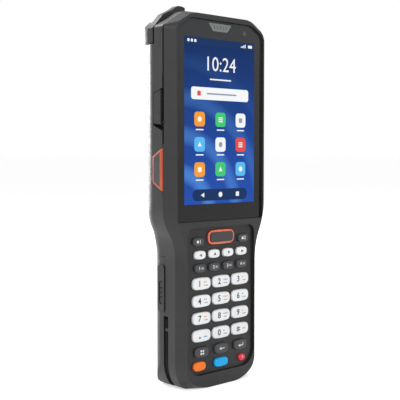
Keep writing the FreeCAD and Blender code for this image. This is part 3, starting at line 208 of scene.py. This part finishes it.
CHARCOAL = textured_plastic("charcoal_plastic", (0.02, 0.02, 0.0213), rough=0.44)
RUBBER = textured_plastic("black_rubber", (0.018, 0.018, 0.019), rough=0.55, grain=5200.0, strength=0.32)
BEZEL = textured_plastic("keypad_bezel_plastic", (0.008, 0.008, 0.009), rough=0.4, grain=9000.0)
GASKET = textured_plastic("gasket_foam", (0.015, 0.015, 0.015), rough=0.8)
GREY_KEY = textured_plastic("grey_key_plastic", (0.05, 0.051, 0.054), rough=0.4, grain=9000.0,
                            strength=0.12)
WHITE_KEY = textured_plastic("white_key_plastic", (0.83, 0.84, 0.85), rough=0.38, grain=9000.0,
                             strength=0.1, mottle=0.02)
ORANGE_KEY = textured_plastic("orange_key_plastic", (1.0, 0.19, 0.015), rough=0.36, grain=9000.0,
                              strength=0.1)
BLUE_KEY = textured_plastic("blue_key_plastic", (0.0, 0.43, 0.88), rough=0.36, grain=9000.0,
                            strength=0.1)
RED_KEY = textured_plastic("red_key_plastic", (0.86, 0.035, 0.07), rough=0.36, grain=9000.0,
                           strength=0.1)
INK_DARK = smooth_finish("dark_ink", (0.02, 0.022, 0.03), 0.5)
INK_WHITE = smooth_finish("white_ink", (0.82, 0.83, 0.84), 0.45)
INK_ORANGE = smooth_finish("orange_ink", (0.8, 0.25, 0.12), 0.45)
INK_BLUE = smooth_finish("blue_ink", (0.12, 0.27, 0.62), 0.45)
INK_GREY = smooth_finish("grey_ink", (0.34, 0.35, 0.38), 0.45)
STEEL = smooth_finish("steel", (0.5, 0.5, 0.51), 0.3, metallic=1.0)
DARK_STEEL = smooth_finish("dark_steel", (0.06, 0.06, 0.062), 0.4, metallic=1.0)
GOLD = smooth_finish("gold_contacts", (0.83, 0.6, 0.24), 0.25, metallic=1.0)
MAGNESIUM = smooth_finish("magnesium", (0.5, 0.5, 0.51), 0.42, metallic=1.0)
BOARD = smooth_finish("circuit_board", (0.02, 0.12, 0.06), 0.3, coat=0.4)
CELL_WRAP = smooth_finish("cell_wrap", (0.2, 0.24, 0.32), 0.3, coat=0.3)
GRILLE = smooth_finish("grille_mesh", (0.16, 0.18, 0.17), 0.45)
EYE_RING = smooth_finish("camera_ring", (0.012, 0.012, 0.014), 0.3)
LENS = smooth_finish("lens_glass", (0.004, 0.004, 0.01), 0.05, coat=1.0)


def glass_material():
    """Black border print behind glass, with a painted reflection that makes it a little paler towards the
    top.
    """
    material, tree, shader = new_material("black_glass")
    smudge = noise(tree, 45.0, 4.0)
    tree.links.new(remap(tree, smudge, 0.35, 0.75, 0.04, 0.1), shader.inputs["Roughness"])
    # Painted reflection: the border's base colour goes from near black at the bottom to a paler grey at
    # the top.
    bottom = 100 * MM
    top = 209 * MM
    height = remap(tree, axes_of(tree)["Z"], bottom, top, 0.0, 1.0)
    shade = blend_colours(tree, height, (0.008, 0.008, 0.009), (0.03, 0.031, 0.033))
    tree.links.new(shade, shader.inputs["Base Color"])
    shader.inputs["Specular IOR Level"].default_value = 0.25
    return material


def window_material():
    """Dark red scan window."""
    material, tree, shader = new_material("scan_window_glass")
    shade = blend_colours(tree, noise(tree, 60.0), (0.05, 0.002, 0.002), (0.09, 0.004, 0.004))
    tree.links.new(shade, shader.inputs["Base Color"])
    shader.inputs["Roughness"].default_value = 0.06
    shader.inputs["Coat Weight"].default_value = 0.8
    return material


def scan_key_material():
    """Orange ring with a black cap in its middle, and painted shade that darkens the ring's side walls to
    a deep red.
    """
    low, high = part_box("key_scan")
    middle = (low + high) / 2
    material, tree, shader = new_material("scan_key_two_shot")
    axes = axes_of(tree)
    cap_half = (9.5 * MM, 2.95 * MM)
    cap_corner = 2.2 * MM
    wall_front = -0.95 * MM
    wall_back = -0.6 * MM
    share = inside_box(tree, axes["X"], axes["Z"], (middle.x, middle.z), cap_half, cap_corner)
    grain = noise(tree, TONE_SCALE)
    # Painted shade: behind the front face, the ring's side walls fade to a deep red.
    painted_wall_shade = remap(tree, axes["Y"], wall_front, wall_back, 0.0, 1.0)
    ring = blend_colours(tree, grain, (0.66, 0.12, 0.05), (0.78, 0.18, 0.09))
    ring = blend_colours(tree, painted_wall_shade, ring, (0.36, 0.012, 0.006))
    cap = blend_colours(tree, grain, (0.017, 0.017, 0.018), (0.026, 0.026, 0.028))
    tree.links.new(blend_colours(tree, share, ring, cap), shader.inputs["Base Color"])
    shader.inputs["Roughness"].default_value = 0.36
    bump(tree, shader, noise(tree, 8000.0), 0.12, GRAIN_DEPTH)
    return material


def trigger_material(name):
    """Dark trigger cap with an orange ring: the ring is what lies near the cap's slanted outline."""
    material, tree, shader = new_material(name + "_two_shot")
    axes = axes_of(tree)
    front = 4.6 * MM
    back = 12.0 * MM
    bottom = 113.5 * MM
    top = 137.0 * MM
    slant = 4.5 * MM
    ring = 1.1 * MM
    slope = slant / (back - front)
    long = math.sqrt(1 + slope * slope)
    along = math_node(tree, "SUBTRACT", axes["Y"], front)
    rise = math_node(tree, "MULTIPLY", along, slope)
    upward = math_node(tree, "SUBTRACT", math_node(tree, "SUBTRACT", axes["Z"], bottom), rise)
    downward = math_node(tree, "SUBTRACT", math_node(tree, "SUBTRACT", top, axes["Z"]), rise)
    edges = [
        along,
        math_node(tree, "SUBTRACT", back, axes["Y"]),
        math_node(tree, "DIVIDE", upward, long),
        math_node(tree, "DIVIDE", downward, long),
    ]
    near = edges[0]
    for edge in edges[1:]:
        near = math_node(tree, "MINIMUM", near, edge)
    share = remap(tree, near, ring - EDGE_BLUR, ring + EDGE_BLUR, 0.0, 1.0)
    grain = noise(tree, TONE_SCALE)
    orange = blend_colours(tree, grain, (0.42, 0.06, 0.02), (0.56, 0.1, 0.035))
    dark = blend_colours(tree, grain, (0.026, 0.026, 0.028), (0.036, 0.036, 0.039))
    tree.links.new(blend_colours(tree, share, orange, dark), shader.inputs["Base Color"])
    shader.inputs["Roughness"].default_value = 0.42
    bump(tree, shader, noise(tree, 7000.0), 0.2, GRAIN_DEPTH)
    return material


def light_up(tree, shader, shade):
    """Finish of the display's dots: their own light, little of the room's and a faint gloss."""
    tone = noise(tree, DISPLAY_TONE_SCALE)
    tree.links.new(blend_colours(tree, tone, (0.0, 0.0, 0.0), (0.01, 0.01, 0.01)),
                   shader.inputs["Base Color"])
    tree.links.new(shade, shader.inputs["Emission Color"])
    shader.inputs["Emission Strength"].default_value = 1.0
    shader.inputs["Roughness"].default_value = 0.12
    shader.inputs["Specular IOR Level"].default_value = 0.06


def display_colour(name, colour):
    """Lit dots of one colour."""
    material, tree, shader = new_material(name)
    dimmer = tuple(part * 0.95 for part in colour)
    light_up(tree, shader, blend_colours(tree, noise(tree, DISPLAY_TONE_SCALE), colour, dimmer))
    return material


def wallpaper():
    """Blue wallpaper: darker at the top, with pale round ripples from the lower left."""
    material, tree, shader = new_material("display_wallpaper")
    axes = axes_of(tree)
    height = remap(tree, axes["Z"], SCREEN_LOW, SCREEN_HIGH, 0.0, 1.0)
    base = blend_colours(tree, height, (0.012, 0.075, 0.42), (0.0, 0.022, 0.11))
    ripple_side = -34 * MM
    ripple_up = SCREEN_LOW - 8 * MM
    ripple_step = 21 * MM
    side = math_node(tree, "SUBTRACT", axes["X"], ripple_side)
    up = math_node(tree, "SUBTRACT", axes["Z"], ripple_up)
    square = math_node(tree, "ADD", math_node(tree, "POWER", side, 2.0),
                       math_node(tree, "POWER", up, 2.0))
    away = math_node(tree, "SQRT", square)
    ripple = math_node(tree, "SINE", math_node(tree, "MULTIPLY", away, 2 * math.pi / ripple_step))
    band = remap(tree, ripple, -0.2, 1.0, 0.0, 0.6)
    fade = remap(tree, away, 20 * MM, 95 * MM, 1.0, 0.0)
    glow = math_node(tree, "MULTIPLY", band, fade)
    light_up(tree, shader, blend_colours(tree, glow, base, (0.1, 0.32, 0.85)))
    return material


def new_piece(name, mesh, materials, body):
    piece = bpy.data.objects.new(name, mesh)
    bpy.context.scene.collection.objects.link(piece)
    for material in materials:
        mesh.materials.append(material)
    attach(piece, body)
    return piece


class Sheet:
    """Thin raised shapes facing -Y, gathered into one mesh and placed in millimetres from a middle."""

    def __init__(self, name, face, middle):
        self.name = name
        self.face = face
        self.middle = middle
        self.mesh = bmesh.new()
        self.materials = []

    def number_of(self, material):
        if material not in self.materials:
            self.materials.append(material)
        return self.materials.index(material)

    def outline(self, points, material, level=0):
        """Prism over an outline of (x, z) points, on a numbered layer."""
        back = self.face - level * LAYER
        front = back - INK
        places = [(self.middle[0] + x * MM, self.middle[1] + z * MM) for x, z in points]
        rear_ring = [self.mesh.verts.new((x, back, z)) for x, z in places]
        front_ring = [self.mesh.verts.new((x, front, z)) for x, z in places]
        number = self.number_of(material)
        made = [self.mesh.faces.new(front_ring), self.mesh.faces.new(rear_ring[::-1])]
        for here in range(len(places)):
            after = (here + 1) % len(places)
            made.append(self.mesh.faces.new(
                (front_ring[here], rear_ring[here], rear_ring[after], front_ring[after])))
        for face in made:
            face.material_index = number

    def bar(self, across, up, wide, tall, corner, material, level=0):
        """Rectangle, with round corners where a corner radius is given."""
        half_wide = wide / 2
        half_tall = tall / 2
        points = []
        for number, (side, rise) in enumerate(((1, -1), (1, 1), (-1, 1), (-1, -1))):
            if corner <= 0:
                points.append((across + side * half_wide, up + rise * half_tall))
                continue
            middle = (across + side * (half_wide - corner), up + rise * (half_tall - corner))
            for step in range(CORNER_STEPS + 1):
                angle = math.radians(-90 + 90 * number + 90 * step / CORNER_STEPS)
                points.append((middle[0] + corner * math.cos(angle),
                               middle[1] + corner * math.sin(angle)))
        self.outline(points, material, level)

    def disc(self, across, up, radius, material, level=0, count=DISC_POINTS):
        angles = [2 * math.pi * number / count for number in range(count)]
        points = [(across + radius * math.cos(angle), up + radius * math.sin(angle)) for angle in angles]
        self.outline(points, material, level)

    def arrow(self, across, up, reach, turn, material, level=0):
        """Triangle that points up, turned anticlockwise in quarter turns."""
        corners = [(0.0, reach), (-reach * 0.9, -reach * 0.7), (reach * 0.9, -reach * 0.7)]
        angle = math.radians(90 * turn)
        points = [(across + x * math.cos(angle) - z * math.sin(angle),
                   up + x * math.sin(angle) + z * math.cos(angle)) for x, z in corners]
        self.outline(points, material, level)

    def text(self, words, height, across, up, material, level=0, bold=0.0):
        """Plain characters centred on a point."""
        curve = bpy.data.curves.new("words", "FONT")
        curve.body = words
        curve.size = height * MM
        curve.align_x = "CENTER"
        curve.align_y = "CENTER"
        curve.extrude = INK / 2
        curve.offset = bold * MM
        curve.resolution_u = 3
        holder = bpy.data.objects.new("words", curve)
        mesh = bpy.data.meshes.new_from_object(holder)
        number = self.number_of(material)
        depth = self.face - level * LAYER - INK / 2
        side = self.middle[0] + across * MM
        rise = self.middle[1] + up * MM
        for vertex in mesh.vertices:
            flat = vertex.co.copy()
            vertex.co = (side + flat.x, depth - flat.z, rise + flat.y)
        before = len(self.mesh.faces)
        self.mesh.from_mesh(mesh)
        self.mesh.faces.ensure_lookup_table()
        for face in self.mesh.faces[before:]:
            face.material_index = number
        bpy.data.objects.remove(holder)
        bpy.data.meshes.remove(mesh)

    def done(self, body):
        bmesh.ops.recalc_face_normals(self.mesh, faces=self.mesh.faces)
        mesh = bpy.data.meshes.new(self.name)
        self.mesh.to_mesh(mesh)
        self.mesh.free()
        return new_piece(self.name, mesh, self.materials, body)


def key_sheet(name):
    """Empty legend on a key's front face, about the key's middle."""
    low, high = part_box(name)
    return Sheet("legend_" + name[4:], low.y, ((low.x + high.x) / 2, (low.z + high.z) / 2))


def digit_legends():
    """White keys: a plain digit, point or hash with small coloured marks beside it."""
    mark_inks = (INK_BLUE, INK_ORANGE)
    for word in "1234567890":
        sheet = key_sheet("key_" + word)
        sheet.text(word, 4.9, -2.1, 0.0, INK_DARK, bold=0.09)
        for number in range(1 + int(word) % 3):
            sheet.bar(1.6 + 1.25 * number, 0.9, 0.8, 0.8, 0.2, mark_inks[int(word) % 2])
        sheet.bar(2.8, -1.0, 3.0, 0.5, 0.2, INK_GREY)
        sheet.done("key_" + word)
    sheet = key_sheet("key_point")
    sheet.disc(-2.0, -0.9, 0.62, INK_DARK)
    sheet.bar(2.4, -0.6, 2.8, 0.6, 0.2, INK_BLUE)
    sheet.done("key_point")
    sheet = key_sheet("key_symbol")
    for side in (-1, 1):
        sheet.bar(-2.0 - side * 0.5, 0.0, 0.45, 3.2, 0.1, INK_DARK)
    for side in (-1, 1):
        sheet.bar(-2.0, side * 0.65, 3.2, 0.45, 0.1, INK_DARK, 1)
    sheet.bar(2.6, 0.0, 2.4, 0.6, 0.2, INK_ORANGE)
    sheet.done("key_symbol")


def menu_mark(sheet):
    """Four small squares."""
    for side, rise in ((-1, -1), (1, -1), (-1, 1), (1, 1)):
        sheet.bar(side * 0.8, rise * 0.8, 1.1, 1.1, 0.25, INK_WHITE)


def back_mark(sheet):
    """Arrow to the left."""
    sheet.arrow(-1.1, 0.0, 1.0, 1, INK_WHITE)
    sheet.bar(0.9, 0.0, 2.8, STROKE, STROKE_CORNER, INK_WHITE)


def enter_mark(sheet):
    """Arrow that comes down and turns to the left."""
    sheet.arrow(-1.1, -0.5, 0.9, 1, INK_WHITE)
    sheet.bar(0.7, -0.5, 2.4, STROKE, STROKE_CORNER, INK_WHITE)
    sheet.bar(1.8, 0.45, STROKE, 1.5, STROKE_CORNER, INK_WHITE, 1)


def power_mark(sheet):
    """Short upright stroke."""
    sheet.bar(0.0, 0.5, STROKE, 1.3, STROKE_CORNER, INK_WHITE)


def small_legends():
    """Arrow, function, program and menu keys: triangles, digits, bars and squares."""
    for number, turn in enumerate((1, 0, 2, 3), start=1):
        name = "key_arrow_%d" % number
        sheet = key_sheet(name)
        sheet.arrow(0.0, 0.0, 1.05, turn, INK_DARK)
        sheet.done(name)
    for number in range(1, 5):
        name = "key_function_%d" % number
        sheet = key_sheet(name)
        sheet.text(str(number), 2.6, -1.0, 0.0, INK_WHITE, bold=0.04)
        sheet.bar(1.3, 0.0, 1.9, 1.1, 0.3, INK_GREY)
        sheet.done(name)
    for number in (1, 2):
        name = "key_program_%d" % number
        sheet = key_sheet(name)
        sheet.text(str(number), 2.8, 0.9, 0.0, INK_WHITE, bold=0.04)
        sheet.bar(-1.0, 0.0, 1.5, 1.5, 0.3, INK_WHITE)
        sheet.done(name)
    marks = {"key_menu": menu_mark, "key_back": back_mark, "key_enter": enter_mark,
             "key_power": power_mark}
    for name, mark in marks.items():
        sheet = key_sheet(name)
        mark(sheet)
        sheet.done(name)


def tile_glyph(sheet, kind, across, up, material):
    """One of four plain glyphs in the middle of a tile."""
    level = 4
    if kind == 0:
        sheet.disc(across, up, 1.5, material, level)
    elif kind == 1:
        for step in (-1, 0, 1):
            sheet.bar(across, up + step * 1.1, 3.4, 0.6, 0.2, material, level)
    elif kind == 2:
        sheet.bar(across, up, 2.8, 2.8, 0.5, material, level)
    else:
        sheet.arrow(across, up, 1.6, 0, material, level)


def screen():
    """Plain home screen: a clock, a white field, three rows of round-cornered tiles and a tray."""
    white = display_colour("display_white", (0.93, 0.95, 0.97))
    ink = display_colour("display_grey", (0.3, 0.34, 0.42))
    green = display_colour("display_green", (0.05, 0.6, 0.18))
    orange = display_colour("display_orange", (0.95, 0.35, 0.03))
    red = display_colour("display_red", (0.85, 0.07, 0.06))
    sky = display_colour("display_sky", (0.1, 0.5, 0.9))
    navy = display_colour("display_navy", (0.004, 0.03, 0.12))
    sheet = Sheet("display_picture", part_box("display_glass")[0].y, (0.0, SCREEN_LOW))
    sheet.bar(0.0, SCREEN_TALL / 2, SCREEN_WIDE, SCREEN_TALL, 0.0, wallpaper(), 0)

    strip_tall = 4.2
    strip = SCREEN_TALL - strip_tall / 2
    sheet.bar(0.0, strip, SCREEN_WIDE, strip_tall, 0.0, navy, 1)
    for number in range(3):
        sheet.bar(-25.0 + 2.6 * number, strip, 1.6, 1.6, 0.4, white, 2)
    for number in range(4):
        tall = 0.7 + 0.45 * number
        sheet.bar(17.0 + 1.1 * number, strip - 1.0 + tall / 2, 0.7, tall, 0.0, white, 2)
    sheet.bar(24.4, strip, 3.4, 1.7, 0.4, white, 2)

    clock = 79.0
    sheet.text("10:24", 11.5, 0.0, clock, white, 2)
    sheet.bar(0.0, clock - 8.3, 17.0, 0.8, 0.3, white, 2)
    field = 62.5
    sheet.bar(0.0, field, 46.0, 7.0, 1.6, white, 2)
    sheet.bar(-17.0, field, 2.8, 2.8, 0.7, red, 3)
    sheet.bar(1.0, field, 24.0, 0.9, 0.4, ink, 3)

    top_row = 48.0
    column_step = 16.5
    row_step = 14.2
    tile = 8.2
    for number, colour in enumerate((orange, green, white, sky, white, red, orange, green, sky)):
        across = (number % 3 - 1) * column_step
        up = top_row - row_step * (number // 3)
        sheet.bar(across, up, tile, tile, 2.0, colour, 3)
        tile_glyph(sheet, number % 4, across, up, white if colour != white else ink)
        sheet.bar(across, up - 5.9, 6.0, 0.7, 0.3, white, 3)

    tray = 5.1
    tray_side = 14.0
    sheet.bar(0.0, tray, 44.0, 6.6, 3.2, navy, 2)
    sheet.arrow(-tray_side, tray, 1.5, 1, white, 3)
    sheet.disc(0.0, tray, 1.5, white, 3)
    sheet.bar(tray_side, tray, 2.6, 2.6, 0.4, white, 3)
    sheet.done(BODY)


def front_eye():
    """Printed ring and window over the front camera, on the glass."""
    low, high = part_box("front_camera")
    middle = ((low.x + high.x) / 2, (low.z + high.z) / 2)
    sheet = Sheet("camera_window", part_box("display_glass")[0].y, middle)
    sheet.disc(0.0, 0.0, 1.9, EYE_RING, 0, EYE_POINTS)
    sheet.disc(0.0, 0.0, 1.35, LENS, 1, EYE_POINTS)
    sheet.done(BODY)


def dress_nodes():
    """Finish of every CAD node: the plastic of the casings first, then what differs from it."""
    for name in nodes:
        paint(name, CHARCOAL)
    for name in ("scan_hood", "volume_rocker", "port_door", "keypad_mat"):
        paint(name, RUBBER)
    paint("keypad_bezel", BEZEL)
    paint("display_glass", glass_material())
    paint("display_gasket", GASKET)
    paint("lcd_module", MAGNESIUM)
    paint("receiver_grille", GRILLE)
    paint("scan_window", window_material())
    for name in ("front_camera", "rear_camera"):
        paint(name, LENS)
    for name in ("chassis", "scan_engine"):
        paint(name, MAGNESIUM)
    for name in ("main_board", "keypad_board"):
        paint(name, BOARD)
    for name in ("charging_port", "speaker", "housing_screws"):
        paint(name, STEEL)
    paint("door_pin", DARK_STEEL)
    for name in ("battery_contacts", "docking_contacts"):
        paint(name, GOLD)
    paint("battery_cells", CELL_WRAP)
    paint("left_scan_trigger", trigger_material("left_scan_trigger"))
    paint("right_scan_trigger", trigger_material("right_scan_trigger"))
    for name in nodes:
        if name.startswith("key_"):
            is_white = name.startswith("key_arrow") or name[4:] in [*"0123456789", "point", "symbol"]
            paint(name, WHITE_KEY if is_white else GREY_KEY)
    paint("key_scan", scan_key_material())
    paint("key_orange", ORANGE_KEY)
    paint("key_blue", BLUE_KEY)
    paint("key_power", RED_KEY)


def soften_edges():
    """Small rounded edges that catch the light on the moulded casings."""
    for name in ("front_housing", "rear_housing", "scan_hood", "battery_pack", "port_door"):
        bevel = nodes[name].modifiers.new("edge_round", "BEVEL")
        bevel.width = EDGE_ROUND
        bevel.segments = 2
        bevel.limit_method = "ANGLE"
        bevel.angle_limit = EDGE_ANGLE
        bevel.harden_normals = True


def seen_rays(tree):
    """1 for rays from the camera, a mirror or a glass, which show the background."""
    path = add_node(tree, "ShaderNodeLightPath")
    seen = math_node(tree, "MAXIMUM", path.outputs["Is Camera Ray"], path.outputs["Is Glossy Ray"])
    return math_node(tree, "MAXIMUM", seen, path.outputs["Is Transmission Ray"])


def pale_floor():
    """Wide floor that keeps the shadow and reads as white to the camera."""
    mesh = bmesh.new()
    reach = 30.0
    corners = [mesh.verts.new((x * reach, y * reach, 0.0))
               for x, y in ((-1, -1), (1, -1), (1, 1), (-1, 1))]
    mesh.faces.new(corners)
    data = bpy.data.meshes.new("floor")
    mesh.to_mesh(data)
    mesh.free()
    floor = bpy.data.objects.new("floor", data)
    bpy.context.scene.collection.objects.link(floor)
    material, tree, shader = new_material("pale_floor")
    grain = noise(tree, 4.0)
    tree.links.new(blend_colours(tree, grain, (0.9, 0.9, 0.9), (0.93, 0.93, 0.93)),
                   shader.inputs["Base Color"])
    shader.inputs["Roughness"].default_value = 0.9
    shader.inputs["Specular IOR Level"].default_value = 0.1
    shader.inputs["Emission Color"].default_value = (1.0, 1.0, 1.0, 1.0)
    tree.links.new(remap(tree, seen_rays(tree), 0.0, 1.0, 0.0, FLOOR_LIFT),
                   shader.inputs["Emission Strength"])
    data.materials.append(material)


def area_light(name, place, target, size, power):
    """Square lamp turned to a target, in metres and watts."""
    light = bpy.data.lights.new(name, "AREA")
    light.shape = "SQUARE"
    light.size = size
    light.energy = power
    holder = bpy.data.objects.new(name, light)
    bpy.context.scene.collection.objects.link(holder)
    holder.location = place
    holder.rotation_euler = (Vector(target) - Vector(place)).to_track_quat("-Z", "Y").to_euler()


def lights():
    """Plain studio light: four soft lamps and a grey world that the background shows as white."""
    middle = (0.0, 0.01, 0.11)
    area_light("key_light", (-0.95, -0.75, 0.8), middle, 0.7, 5.5)
    area_light("top_light", (-0.1, 0.85, 0.95), middle, 0.6, 10.0)
    area_light("front_light", (-0.1, -1.2, 0.9), middle, 0.8, 4.5)
    area_light("rim_light", (0.0, 1.1, 0.25), middle, 0.35, 8.0)
    world = bpy.data.worlds.new("studio")
    bpy.context.scene.world = world
    world.use_nodes = True
    tree = world.node_tree
    background = tree.nodes["Background"]
    level_on_object = 0.5
    level_of_background = 1.0
    strength = remap(tree, seen_rays(tree), 0.0, 1.0, level_on_object, level_of_background)
    background.inputs["Color"].default_value = (1.0, 1.0, 1.0, 1.0)
    tree.links.new(strength, background.inputs["Strength"])


def camera():
    data = bpy.data.cameras.new("camera")
    data.sensor_width = 36.0
    data.lens = CAMERA_LENS
    data.clip_start = 0.01
    data.clip_end = 100.0
    holder = bpy.data.objects.new("camera", data)
    bpy.context.scene.collection.objects.link(holder)
    holder.location = CAMERA_PLACE
    look = Vector((
        math.sin(CAMERA_TURN) * math.cos(CAMERA_PITCH),
        math.cos(CAMERA_TURN) * math.cos(CAMERA_PITCH),
        -math.sin(CAMERA_PITCH),
    ))
    holder.rotation_euler = look.to_track_quat("-Z", "Y").to_euler()
    bpy.context.scene.camera = holder


bpy.context.scene.view_settings.view_transform = "Standard"
camera()
pale_floor()
lights()
dress_nodes()
soften_edges()
digit_legends()
small_legends()
screen()
front_eye()
